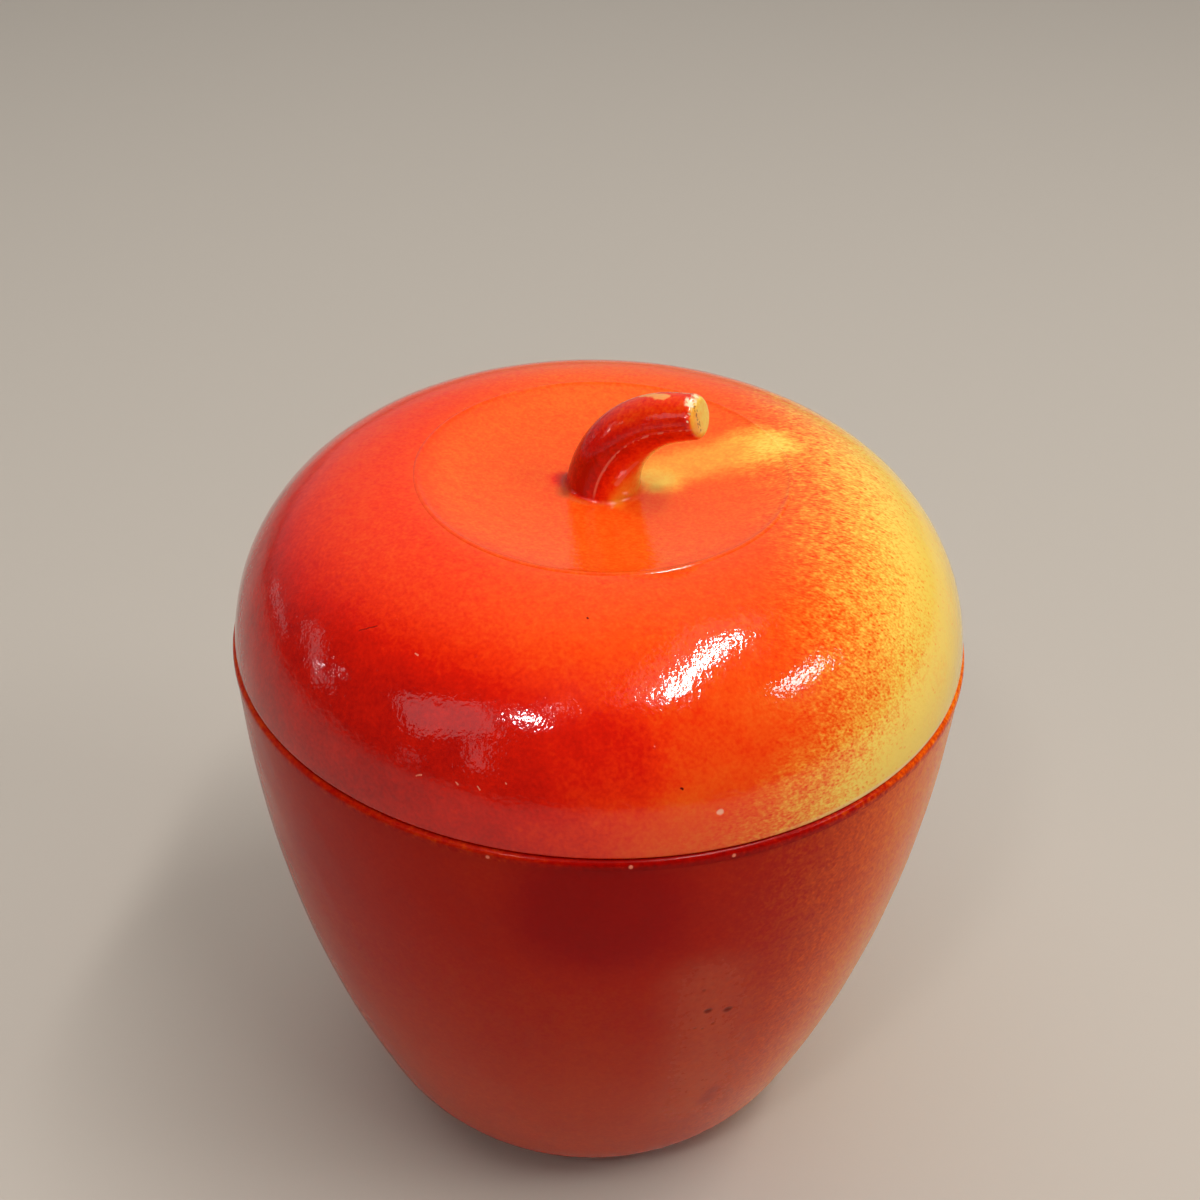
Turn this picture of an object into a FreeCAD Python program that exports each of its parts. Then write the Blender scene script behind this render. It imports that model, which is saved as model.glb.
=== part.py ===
import FreeCAD, Part
import math
import os

import Sketcher

# A jam jar of pressed glass in the shape of an apple, in millimetres, +Z up.
# The origin is at the middle of the base, on the surface that the jar stands on.
# The jar's rim carries the lid on a flat land, and a short spigot under the lid
# drops into the jar's mouth. The lid and its hooked stem are one pressed piece.
# The stem bends over towards +X, in the plane of symmetry y = 0.

Vector = FreeCAD.Vector

SIZES = [
    # The jar.
    ("jar_height", 73.0, "base to the land that the lid rests on"),
    ("rim_radius", 43.3, "outside of the bead round the rim"),
    ("rim_bead_height", 1.3, "height of that bead"),
    ("rim_round", 0.7, "rounding of the bead's upper edge"),
    ("rim_land", 5.3, "outside of the bead in to the bore of the mouth"),
    ("wall_inset", 0.15, "step from the bead in to the wall"),
    ("wall_lean", 1.0, "slope of the wall just under the bead, in degrees"),
    ("heel_radius", 31.0, "outside of the jar where the wall turns into the heel"),
    ("heel_height", 11.05, "height of that turn above the base"),
    ("foot_radius", 20.4, "outside of the foot, before its rounding"),
    ("foot_round", 2.0, "rounding of the foot's outer edge"),
    ("foot_ring_width", 5.4, "ring that the jar stands on, outside the push-up"),
    ("pushup_depth", 1.0, "rise of the hollow under the base"),
    # The lid.
    ("lid_inset", 0.3, "outside of the bead in to the lid's edge"),
    ("lid_rise", 19.5, "rim land to the crest of the shoulder"),
    ("shoulder_arc", 20.4, "radius of the lid's round shoulder"),
    ("lid_edge_round", 0.45, "rounding of the lid's lower edge"),
    ("ring_from_crest", 1.1, "crest of the shoulder in to the mould ring"),
    ("ring_width", 0.6, "width of the mould ring"),
    ("ring_bead_arc", 0.42, "radius of the ring's low round bead"),
    ("dish_depth", 2.2, "crest of the shoulder to the bottom of the dish"),
    ("spigot_depth", 3.0, "drop of the spigot into the mouth"),
    ("spigot_chamfer", 0.6, "lead-in on the spigot's edge"),
    ("spigot_side_gap", 0.4, "clearance round the spigot"),
    ("spigot_floor_gap", 0.5, "clearance under the spigot"),
    # The stem.
    ("stem_root_radius", 4.5, "stem where it starts, inside the lid"),
    ("stem_tip_radius", 2.4, "stem at its end"),
    ("stem_root_sink", 2.0, "start of the stem below the dish"),
    ("stem_bend_sink", 0.4, "start of its bend below the dish"),
    ("stem_bend_arc", 12.0, "radius of the bend, along the middle"),
    ("stem_bend_angle", 73.0, "turn of the bend, in degrees"),
    ("stem_end_length", 3.2, "straight stretch after the bend"),
    ("stem_tip_round", 0.9, "rounding of the stem's end"),
    ("stem_root_fillet", 0.8, "fillet where the stem meets the dish"),
]

# Heights and radii that several pieces share, worked out from the sizes above.
CREST = "Sizes.jar_height + Sizes.lid_rise"
DISH_FLOOR = f"{CREST} - Sizes.dish_depth"
LID_RADIUS = "Sizes.rim_radius - Sizes.lid_inset"
MOUTH_RADIUS = "Sizes.rim_radius - Sizes.rim_land"
SPIGOT_RADIUS = f"{MOUTH_RADIUS} - Sizes.spigot_side_gap"
PUSHUP_RADIUS = "Sizes.foot_radius - Sizes.foot_ring_width"

START, END, CENTRE = 1, 2, 3  # Sketcher's numbers for the points of an arc or a line
ORIGIN = (-1, START)
AXIS_UP = -2
FULL_TURN = 360.0
SAMPLES = 9  # points looked at along an edge
SAME = 1e-4  # two lengths closer than this are the same


def make_sheet(doc):
    """One row for each driving size: its name, its value and what it is."""
    sheet = doc.addObject("Spreadsheet::Sheet", "Sizes")
    for row, (alias, value, note) in enumerate(SIZES, start=1):
        sheet.set(f"A{row}", alias)
        sheet.set(f"B{row}", str(value))
        sheet.set(f"C{row}", note)
        sheet.setAlias(f"B{row}", alias)
    doc.recompute()
    return sheet


doc = FreeCAD.newDocument("JamJar")
sheet = make_sheet(doc)


def size(alias):
    return float(sheet.get(alias))


def origin_plane(body, role):
    return next(f for f in body.Origin.OriginFeatures if f.Role == role)


def new_sketch(body, name, role):
    sketch = body.newObject("Sketcher::SketchObject", name)
    sketch.AttachmentSupport = [(origin_plane(body, role), "")]
    sketch.MapMode = "FlatFace"
    return sketch


def fix(sketch, kind, places, name, start, formula):
    """A named constraint that starts at a value and then follows the sheet."""
    sketch.addConstraint(Sketcher.Constraint(kind, *places, start))
    sketch.renameConstraint(sketch.ConstraintCount - 1, name)
    sketch.setExpression(f"Constraints.{name}", formula)


def tie(sketch, kind, *places):
    sketch.addConstraint(Sketcher.Constraint(kind, *places))


def point(r, z):
    return Vector(r, z, 0)


def line(sketch, first, last):
    return sketch.addGeometry(Part.LineSegment(point(*first), point(*last)), False)


def arc(sketch, centre, radius, first, last):
    """An arc run anticlockwise from one point to another."""
    circle = Part.Circle(point(*centre), Vector(0, 0, 1), radius)
    angle_from = math.atan2(first[1] - centre[1], first[0] - centre[0])
    angle_to = math.atan2(last[1] - centre[1], last[0] - centre[0])
    return sketch.addGeometry(Part.ArcOfCircle(circle, angle_from, angle_to), False)


def close_up(feature):
    """Recompute and make sure that the feature came out whole."""
    doc.recompute()
    if feature.Shape.isNull() or not feature.Shape.isValid():
        raise RuntimeError(f"{feature.Name} has no sound shape")
    return feature


def circle_sketch(body, name, radius, formula):
    """A circle about the origin of the XY plane, its radius bound to the sheet."""
    sketch = new_sketch(body, name, "XY_Plane")
    sketch.addGeometry(Part.Circle(Vector(), Vector(0, 0, 1), radius), False)
    tie(sketch, "Coincident", 0, CENTRE, *ORIGIN)
    fix(sketch, "Radius", (0,), "radius", radius, formula)
    return sketch


def revolve(body, sketch, name):
    turned = body.newObject("PartDesign::Revolution", name)
    turned.Profile = sketch
    turned.ReferenceAxis = (sketch, ["V_Axis"])
    turned.Angle = FULL_TURN
    return close_up(turned)


def circle_edges(shape, radius, height):
    """The names of the full circles about the Z axis at one radius and height."""
    names = []
    for number, edge in enumerate(shape.Edges, start=1):
        if edge.Degenerated or not isinstance(edge.Curve, Part.Circle):
            continue
        centre = edge.Curve.Center
        off_axis = math.hypot(centre.x, centre.y)
        wrong = abs(edge.Curve.Radius - radius) + abs(centre.z - height) + off_axis
        if wrong < SAME:
            names.append(f"Edge{number}")
    if not names:
        raise RuntimeError(f"no circle of radius {radius} at height {height}")
    return names


def edges_near(shape, centre, radius):
    """The names of the closed edges that run round a point at one distance."""
    names = []
    for number, edge in enumerate(shape.Edges, start=1):
        if edge.Degenerated or not edge.isClosed():
            continue
        places = edge.discretize(SAMPLES)
        if max(abs((place - centre).Length - radius) for place in places) < SAME:
            names.append(f"Edge{number}")
    if not names:
        raise RuntimeError("no closed edge round the point")
    return names


def edges_on_sphere(shape, reach):
    """The names of the closed edges of the spherical dish that lie within reach of the axis."""
    names = []
    for number, edge in enumerate(shape.Edges, start=1):
        if edge.Degenerated or not edge.isClosed():
            continue
        faces = shape.ancestorsOfType(edge, Part.Face)
        on_dish = any(isinstance(face.Surface, Part.Sphere) for face in faces)
        if on_dish and max(math.hypot(p.x, p.y) for p in edge.discretize(SAMPLES)) < reach:
            names.append(f"Edge{number}")
    if not names:
        raise RuntimeError("the stem doesn't meet the dish")
    return names


def dress(body, kind, name, base, edges, prop, formula):
    """A fillet or chamfer on named edges, its size bound to the sheet."""
    before = base.Shape.Volume
    feature = body.newObject(kind, name)
    feature.Base = (base, edges)
    feature.setExpression(prop, formula)
    close_up(feature)
    if abs(feature.Shape.Volume - before) < SAME:
        raise RuntimeError(f"{name} changed nothing")
    return feature


def must_shrink(before, after):
    if after.Shape.Volume > before.Shape.Volume - SAME:
        raise RuntimeError(f"{after.Name} cut nothing")


def must_grow(before, after):
    if after.Shape.Volume < before.Shape.Volume + SAME:
        raise RuntimeError(f"{after.Name} added nothing")


def tangent_centre(start, normal, end):
    """Centre of the arc that leaves start square to normal and passes through end."""
    across, up = end[0] - start[0], end[1] - start[1]
    radius = (across**2 + up**2) / (2 * (across * normal[0] + up * normal[1]))
    return (start[0] + normal[0] * radius, start[1] + normal[1] * radius)


def make_jar():
    body = doc.addObject("PartDesign::Body", "jar")
    body.Label = "jar"

    # Half the outline: up the axis, out along the rim land, over the bead, down
    # the wall and the heel, and back under the base.
    height, rim = size("jar_height"), size("rim_radius")
    rounding, inset = size("rim_round"), size("wall_inset")
    lean = math.radians(size("wall_lean"))
    wall_top = (rim - inset, height - size("rim_bead_height"))
    turn = (size("heel_radius"), size("heel_height"))
    foot = (size("foot_radius"), 0.0)
    wall_centre = tangent_centre(wall_top, (-math.cos(lean), math.sin(lean)), turn)
    wall_arc = math.dist(wall_centre, turn)
    turn_normal = ((wall_centre[0] - turn[0]) / wall_arc, (wall_centre[1] - turn[1]) / wall_arc)
    heel_centre = tangent_centre(turn, turn_normal, foot)
    bead_low = (rim, wall_top[1] + inset)
    bead_high = (rim, height - rounding)
    land_edge = (rim - rounding, height)

    sketch = new_sketch(body, "jar_outline", "XZ_Plane")
    axis = line(sketch, (0, 0), (0, height))
    land = line(sketch, (0, height), land_edge)
    bead_centre = (rim - rounding, height - rounding)
    bead_arc = arc(sketch, bead_centre, rounding, bead_high, land_edge)
    bead_side = line(sketch, bead_high, bead_low)
    step = line(sketch, bead_low, wall_top)
    wall = arc(sketch, wall_centre, wall_arc, turn, wall_top)
    heel = arc(sketch, heel_centre, math.dist(heel_centre, foot), foot, turn)
    base = line(sketch, foot, (0, 0))

    tie(sketch, "Coincident", axis, START, *ORIGIN)
    tie(sketch, "PointOnObject", axis, END, AXIS_UP)
    tie(sketch, "Coincident", axis, END, land, START)
    tie(sketch, "Horizontal", land)
    tie(sketch, "Tangent", land, END, bead_arc, END)
    tie(sketch, "Tangent", bead_arc, START, bead_side, START)
    tie(sketch, "Vertical", bead_side)
    tie(sketch, "Coincident", bead_side, END, step, START)
    tie(sketch, "Coincident", step, END, wall, END)
    tie(sketch, "Tangent", wall, START, heel, END)
    tie(sketch, "Coincident", heel, START, base, START)
    tie(sketch, "Coincident", base, END, axis, START)
    tie(sketch, "Horizontal", base)

    # The wall leaves the bead along a guide line that leans in by wall_lean.
    guide = line(sketch, wall_top, (wall_top[0] - math.sin(lean), wall_top[1] - math.cos(lean)))
    sketch.toggleConstruction(guide)
    tie(sketch, "Tangent", guide, START, wall, END)
    fix(sketch, "Distance", (guide,), "guide_length", 1.0, "1")
    fix(sketch, "Angle", (AXIS_UP, START, guide, START), "lean", math.pi - lean,
        "180 - Sizes.wall_lean")

    fix(sketch, "DistanceY", (axis, START, axis, END), "height", height, "Sizes.jar_height")
    fix(sketch, "DistanceX", (*ORIGIN, bead_side, START), "rim", rim, "Sizes.rim_radius")
    fix(sketch, "Radius", (bead_arc,), "rim_round", rounding, "Sizes.rim_round")
    fix(sketch, "DistanceY", (step, END, land, END), "bead", size("rim_bead_height"),
        "Sizes.rim_bead_height")
    fix(sketch, "DistanceX", (step, END, step, START), "inset_across", inset, "Sizes.wall_inset")
    fix(sketch, "DistanceY", (step, END, step, START), "inset_up", inset, "Sizes.wall_inset")
    fix(sketch, "DistanceX", (*ORIGIN, wall, START), "turn_out", turn[0], "Sizes.heel_radius")
    fix(sketch, "DistanceY", (*ORIGIN, wall, START), "turn_up", turn[1], "Sizes.heel_height")
    fix(sketch, "DistanceX", (*ORIGIN, heel, START), "foot", foot[0], "Sizes.foot_radius")
    blank = revolve(body, sketch, "jar_blank")

    # The mouth: a bore as deep as the spigot and its gap.
    mouth = circle_sketch(body, "mouth_circle", size("rim_radius") - size("rim_land"), MOUTH_RADIUS)
    mouth.setExpression("AttachmentOffset.Base.z", "Sizes.jar_height")
    recess = body.newObject("PartDesign::Pocket", "mouth_recess")
    recess.Profile = mouth
    recess.setExpression("Length", "Sizes.spigot_depth + Sizes.spigot_floor_gap")
    close_up(recess)
    must_shrink(blank, recess)

    # The push-up: a shallow dome that leaves a ring to stand on.
    reach, depth = size("foot_radius") - size("foot_ring_width"), size("pushup_depth")
    dome_radius = (reach**2 + depth**2) / (2 * depth)
    dome = new_sketch(body, "pushup_outline", "XZ_Plane")
    dome_centre = (0, depth - dome_radius)
    roof = arc(dome, dome_centre, dome_radius, (reach, 0), (0, depth))
    side = line(dome, (0, depth), (0, 0))
    floor = line(dome, (0, 0), (reach, 0))
    tie(dome, "Coincident", roof, END, side, START)
    tie(dome, "Coincident", side, END, floor, START)
    tie(dome, "Coincident", floor, END, roof, START)
    tie(dome, "Coincident", floor, START, *ORIGIN)
    tie(dome, "Vertical", side)
    tie(dome, "Horizontal", floor)
    tie(dome, "PointOnObject", roof, CENTRE, AXIS_UP)
    fix(dome, "DistanceX", (floor, START, floor, END), "reach", reach, PUSHUP_RADIUS)
    fix(dome, "DistanceY", (side, END, side, START), "depth", depth, "Sizes.pushup_depth")
    pushup = body.newObject("PartDesign::Groove", "base_pushup")
    pushup.Profile = dome
    pushup.ReferenceAxis = (dome, ["V_Axis"])
    pushup.Angle = FULL_TURN
    close_up(pushup)
    must_shrink(recess, pushup)

    edges = circle_edges(pushup.Shape, size("foot_radius"), 0)
    dress(body, "PartDesign::Fillet", "foot_rounding", pushup, edges, "Radius", "Sizes.foot_round")
    return body


def lid_sketch(body):
    """Half the lid: the dish, its mould ring, the shoulder and the flat underside."""
    seam = size("jar_height")
    crest = seam + size("lid_rise")
    shoulder, edge = size("shoulder_arc"), (size("rim_radius") - size("lid_inset"), seam)
    centre_up = crest - shoulder
    centre = (edge[0] - math.sqrt(shoulder**2 - (seam - centre_up) ** 2), centre_up)
    from_crest = size("ring_from_crest")
    ring_out = centre[0] - from_crest
    ring_in = ring_out - size("ring_width")
    ring_up = centre_up + math.sqrt(shoulder**2 - from_crest**2)
    floor_up = crest - size("dish_depth")
    dish = (ring_in**2 + (ring_up - floor_up) ** 2) / (2 * (ring_up - floor_up))
    bead, half_ring = size("ring_bead_arc"), size("ring_width") / 2
    bead_centre = (ring_in + half_ring, ring_up - math.sqrt(bead**2 - half_ring**2))

    sketch = new_sketch(body, "lid_outline", "XZ_Plane")
    axis = line(sketch, (0, seam), (0, floor_up))
    hollow = arc(sketch, (0, floor_up + dish), dish, (0, floor_up), (ring_in, ring_up))
    ring = arc(sketch, bead_centre, bead, (ring_out, ring_up), (ring_in, ring_up))
    dome = arc(sketch, centre, shoulder, edge, (ring_out, ring_up))
    under = line(sketch, edge, (0, seam))

    tie(sketch, "PointOnObject", axis, START, AXIS_UP)
    tie(sketch, "Vertical", axis)
    tie(sketch, "Coincident", axis, END, hollow, START)
    tie(sketch, "PointOnObject", hollow, CENTRE, AXIS_UP)
    tie(sketch, "Coincident", hollow, END, ring, END)
    tie(sketch, "Horizontal", ring, START, ring, END)
    tie(sketch, "Coincident", ring, START, dome, END)
    tie(sketch, "Coincident", dome, START, under, START)
    tie(sketch, "Coincident", under, END, axis, START)
    tie(sketch, "Horizontal", under)

    fix(sketch, "DistanceY", (*ORIGIN, axis, START), "seam", seam, "Sizes.jar_height")
    fix(sketch, "DistanceY", (*ORIGIN, axis, END), "floor", floor_up, DISH_FLOOR)
    fix(sketch, "DistanceX", (*ORIGIN, dome, START), "edge", edge[0], LID_RADIUS)
    fix(sketch, "Radius", (dome,), "shoulder", shoulder, "Sizes.shoulder_arc")
    fix(sketch, "DistanceY", (*ORIGIN, dome, CENTRE), "shoulder_up", centre_up,
        f"{CREST} - Sizes.shoulder_arc")
    fix(sketch, "DistanceX", (ring, START, dome, CENTRE), "ring_place", from_crest,
        "Sizes.ring_from_crest")
    fix(sketch, "DistanceX", (ring, END, ring, START), "ring_width", 2 * half_ring,
        "Sizes.ring_width")
    fix(sketch, "Radius", (ring,), "ring_bead", bead, "Sizes.ring_bead_arc")
    return sketch


def stem_spine(body):
    """The stem's middle line: up, round the bend and out to the tip."""
    dish_floor = size("jar_height") + size("lid_rise") - size("dish_depth")
    low = dish_floor - size("stem_root_sink")
    bend_up = dish_floor - size("stem_bend_sink")
    turn, radius = math.radians(size("stem_bend_angle")), size("stem_bend_arc")
    bend_end = (radius - radius * math.cos(turn), bend_up + radius * math.sin(turn))
    out = size("stem_end_length")
    tip = (bend_end[0] + out * math.sin(turn), bend_end[1] + out * math.cos(turn))

    sketch = new_sketch(body, "stem_spine", "XZ_Plane")
    rise = line(sketch, (0, low), (0, bend_up))
    bend = arc(sketch, (radius, bend_up), radius, bend_end, (0, bend_up))
    reach = line(sketch, bend_end, tip)
    tie(sketch, "PointOnObject", rise, START, AXIS_UP)
    tie(sketch, "Vertical", rise)
    tie(sketch, "Tangent", rise, END, bend, END)
    tie(sketch, "Tangent", bend, START, reach, START)
    fix(sketch, "DistanceY", (*ORIGIN, rise, START), "root", low,
        f"{DISH_FLOOR} - Sizes.stem_root_sink")
    fix(sketch, "DistanceY", (*ORIGIN, rise, END), "bend_up", bend_up,
        f"{DISH_FLOOR} - Sizes.stem_bend_sink")
    fix(sketch, "Radius", (bend,), "bend", radius, "Sizes.stem_bend_arc")
    fix(sketch, "Angle", (bend,), "turn", turn, "Sizes.stem_bend_angle")
    fix(sketch, "Distance", (reach,), "reach", out, "Sizes.stem_end_length")
    return sketch


def make_lid():
    body = doc.addObject("PartDesign::Body", "lid")
    body.Label = "lid"
    blank = revolve(body, lid_sketch(body), "lid_blank")

    # The spigot hangs from the flat underside, clear of the mouth all round.
    mouth_radius = size("rim_radius") - size("rim_land")
    spigot_radius = mouth_radius - size("spigot_side_gap")
    circle = circle_sketch(body, "spigot_circle", spigot_radius, SPIGOT_RADIUS)
    circle.setExpression("AttachmentOffset.Base.z", "Sizes.jar_height")
    spigot = body.newObject("PartDesign::Pad", "spigot")
    spigot.Profile = circle
    spigot.Reversed = True
    spigot.setExpression("Length", "Sizes.spigot_depth")
    close_up(spigot)
    must_grow(blank, spigot)

    seam = size("jar_height")
    edges = circle_edges(spigot.Shape, spigot_radius, seam - size("spigot_depth"))
    lead_in = dress(body, "PartDesign::Chamfer", "spigot_lead_in", spigot, edges, "Size",
                    "Sizes.spigot_chamfer")
    edges = circle_edges(lead_in.Shape, size("rim_radius") - size("lid_inset"), seam)
    lip = dress(body, "PartDesign::Fillet", "lid_edge_rounding", lead_in, edges, "Radius",
                "Sizes.lid_edge_round")

    # The stem: round sections swept along the middle line, thinner at the tip.
    spine = stem_spine(body)
    root = circle_sketch(body, "stem_root_circle", size("stem_root_radius"),
                         "Sizes.stem_root_radius")
    root.setExpression("AttachmentOffset.Base.z", f"{DISH_FLOOR} - Sizes.stem_root_sink")
    tip = circle_sketch(body, "stem_tip_circle", size("stem_tip_radius"),
                        "Sizes.stem_tip_radius")
    turn = "Sizes.stem_bend_angle * 1 deg"
    tip.AttachmentOffset = FreeCAD.Placement(Vector(), FreeCAD.Rotation(Vector(0, 1, 0), 1))
    tip.setExpression("AttachmentOffset.Rotation.Angle", turn)
    tip.setExpression(
        "AttachmentOffset.Base.x",
        f"Sizes.stem_bend_arc * (1 - cos({turn})) + Sizes.stem_end_length * sin({turn})",
    )
    tip.setExpression(
        "AttachmentOffset.Base.z",
        f"{DISH_FLOOR} - Sizes.stem_bend_sink + Sizes.stem_bend_arc * sin({turn})"
        f" + Sizes.stem_end_length * cos({turn})",
    )
    doc.recompute()
    stem = body.newObject("PartDesign::AdditivePipe", "stem")
    stem.Profile = root
    stem.Spine = spine
    stem.Transformation = "Multisection"
    stem.Sections = [(tip, [""])]
    close_up(stem)
    must_grow(lip, stem)

    # The end of the stem is rounded over, and its root runs into the dish.
    tip_edges = edges_near(stem.Shape, tip.Placement.Base, size("stem_tip_radius"))
    rounded = dress(body, "PartDesign::Fillet", "stem_end_rounding", stem, tip_edges, "Radius",
                    "Sizes.stem_tip_round")
    root_edges = edges_on_sphere(rounded.Shape, size("stem_root_radius"))
    dress(body, "PartDesign::Fillet", "stem_root_rounding", rounded, root_edges, "Radius",
          "Sizes.stem_root_fillet")
    return body


def write_parts(bodies):
    """Check every object, then write each body's solid under its own name."""
    doc.recompute()
    for item in doc.Objects:
        if "Invalid" in item.State or "Error" in item.State:
            raise RuntimeError(f"{item.Name} failed: {item.State}")
        if item.isDerivedFrom("Sketcher::SketchObject") and not item.FullyConstrained:
            raise RuntimeError(f"{item.Name} isn't fully constrained")
    for body in bodies:
        shape = body.Shape
        if shape.isNull() or not shape.isValid() or len(shape.Solids) != 1:
            raise RuntimeError(f"{body.Label} isn't one sound solid")
    os.makedirs("parts", exist_ok=True)
    for body in bodies:
        body.Shape.exportStep(f"parts/{body.Label}.step")
        print(f"{body.Label}: {body.Shape.Volume / 1000:.2f} cm3")


write_parts([make_jar(), make_lid()])
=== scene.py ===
import math

import bpy
import numpy as np
from mathutils import Matrix, Vector


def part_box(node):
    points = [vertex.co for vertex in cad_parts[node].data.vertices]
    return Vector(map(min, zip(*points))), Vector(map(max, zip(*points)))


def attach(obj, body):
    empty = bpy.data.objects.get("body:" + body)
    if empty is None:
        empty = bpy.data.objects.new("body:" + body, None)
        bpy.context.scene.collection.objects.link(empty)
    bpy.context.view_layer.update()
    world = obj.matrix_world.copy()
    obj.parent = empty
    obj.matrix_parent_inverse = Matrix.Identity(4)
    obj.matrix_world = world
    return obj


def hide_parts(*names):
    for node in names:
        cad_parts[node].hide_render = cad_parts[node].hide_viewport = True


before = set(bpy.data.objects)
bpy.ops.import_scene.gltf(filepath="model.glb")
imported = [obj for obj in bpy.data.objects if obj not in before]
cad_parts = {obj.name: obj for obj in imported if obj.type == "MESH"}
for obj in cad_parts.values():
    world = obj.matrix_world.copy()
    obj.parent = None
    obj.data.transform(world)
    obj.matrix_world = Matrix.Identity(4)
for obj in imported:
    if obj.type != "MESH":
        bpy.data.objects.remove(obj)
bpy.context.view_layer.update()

# An old pressed-glass jam jar in the shape of a fruit, sprayed with glossy paint:
# orange red all over, with one cheek left yellow. The jar and its lid are remade
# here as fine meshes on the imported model's outline, with the small relief that
# the solids leave out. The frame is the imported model's: metres, +Z up, the jar's
# foot on z = 0 and the stem bending over towards +X.

JAR_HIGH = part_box("jar")[1]
LID_LOW, LID_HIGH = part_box("lid")

MM = 0.001

# The jar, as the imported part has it.
SEAM = JAR_HIGH.z
RIM_RADIUS = JAR_HIGH.x
RIM_BEAD_HEIGHT = 1.3 * MM
RIM_ROUND = 0.7 * MM
RIM_LAND = 5.3 * MM
WALL_INSET = 0.15 * MM
WALL_LEAN = math.radians(1.0)
HEEL_RADIUS = 31.0 * MM
HEEL_HEIGHT = 11.05 * MM
FOOT_RADIUS = 20.4 * MM
FOOT_ROUND = 2.0 * MM
FOOT_RING_WIDTH = 5.4 * MM
PUSHUP_DEPTH = 1.0 * MM
MOUTH_RADIUS = RIM_RADIUS - RIM_LAND

# The lid.
LID_RADIUS = LID_HIGH.x
LID_RISE = 19.5 * MM
CREST = SEAM + LID_RISE
SHOULDER_ARC = 20.4 * MM
LID_EDGE_ROUND = 0.45 * MM
RING_FROM_CREST = 1.1 * MM
RING_WIDTH = 0.6 * MM
RING_BEAD_ARC = 0.42 * MM
DISH_DEPTH = 2.2 * MM
DISH_FLOOR = CREST - DISH_DEPTH
SPIGOT_CHAMFER = 0.6 * MM
SPIGOT_FLOOR_GAP = 0.5 * MM
SPIGOT_SIDE_GAP = 0.4 * MM
SPIGOT_RADIUS = MOUTH_RADIUS - SPIGOT_SIDE_GAP

# The stem.
STEM_ROOT_RADIUS = 4.5 * MM
STEM_TIP_RADIUS = 2.4 * MM
STEM_ROOT_SINK = 2.0 * MM
STEM_BEND_SINK = 0.4 * MM
STEM_BEND_ARC = 12.0 * MM
STEM_BEND_ANGLE = math.radians(73.0)
STEM_END_LENGTH = 3.2 * MM
STEM_TIP_ROUND = 0.9 * MM
STEM_ROOT_FILLET = 0.8 * MM
STEM_RISE = STEM_ROOT_SINK - STEM_BEND_SINK
STEM_BENT_LENGTH = STEM_BEND_ARC * STEM_BEND_ANGLE + STEM_END_LENGTH
STEM_LENGTH = STEM_RISE + STEM_BENT_LENGTH


def crowded(steps, centre, width, boost):
    """Shares from 0 to 1 that lie closer together about a centre."""
    fine = np.linspace(0, 1, 2001)
    filled = np.cumsum(1 + boost * np.exp(-(((fine - centre) / width) ** 2)))
    filled = (filled - filled[0]) / (filled[-1] - filled[0])
    return np.interp(np.linspace(0, 1, steps + 1), filled, fine)


# Columns of faces round the axis, closest together on the side with the pits and the chip.
COLUMNS = 384
CROWDED_SIDE = math.radians(-45.0)
TURN = CROWDED_SIDE - math.pi + 2 * math.pi * crowded(COLUMNS, centre=0.5, width=0.06, boost=2.5)[:-1]

# Small faults of the surface: pits in the jar's wall (degrees round the axis, height, half length and
# half height in mm) and one chip in the lid's shoulder (degrees, radius and half size in mm).
JAR_PITS = (
    (-45.3, 46.8, 0.75, 0.32),
    (-41.8, 46.0, 0.85, 0.20),
    (-46.6, 51.0, 0.35, 0.30),
    (-46.9, 43.6, 0.35, 0.28),
    (-45.6, 43.2, 0.30, 0.22),
    (-43.9, 43.8, 0.40, 0.26),
)
PIT_DEPTH = 0.12 * MM
LID_CHIP = (-47.0, 42.25, 0.48)
CHIP_DEPTH = 0.06 * MM
RIPPLE = 0.05 * MM  # how far the pressed glass wavers
RIPPLE_OVER_FOOT = (4 * MM, 12 * MM)  # heights between which the wavering sets in
RIPPLE_UNDER_RIM = (2 * MM, 6 * MM)  # depths under the seam between which it sets in
RIPPLE_OVER_EDGE = (0.6 * MM, 3 * MM)  # heights over the seam, on the lid
RIPPLE_OUT_OF_RING = (0.3 * MM, 4 * MM)  # distances out from the mould ring, on the lid
SHARP_ANGLE = math.radians(40)  # an edge that turns further than this shows as an edge

# How many rows of faces each part of the outlines gets.
WALL_ROWS = 130
SHOULDER_ROWS = 92
DISH_ROWS = 34
FILLET_ROWS = 7
STEM_ROWS = 72
STEM_END_ROWS = 9
STEM_FACE_RINGS = (0.85, 0.7, 0.55, 0.4, 0.2)  # shares of the flat end's radius
MOULD_LINE_RUN_IN = 4  # rows over which the stem's mould line rises
POLE_GAP = 0.004  # how far off the axis the push-up's first ring lies, as an angle of its dome


# ------ camera

CAMERA_AZIMUTH = math.radians(26.0)  # how far round from the front, which is -Y
CAMERA_OUT = 161.7 * MM
CAMERA_OVER_SEAM = 114.4 * MM
CAMERA_PITCH = math.radians(34.947)
CAMERA_ROLL = math.radians(1.574)
CAMERA_LENS = 49.5
CAMERA_SENSOR = 36.0


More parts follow.
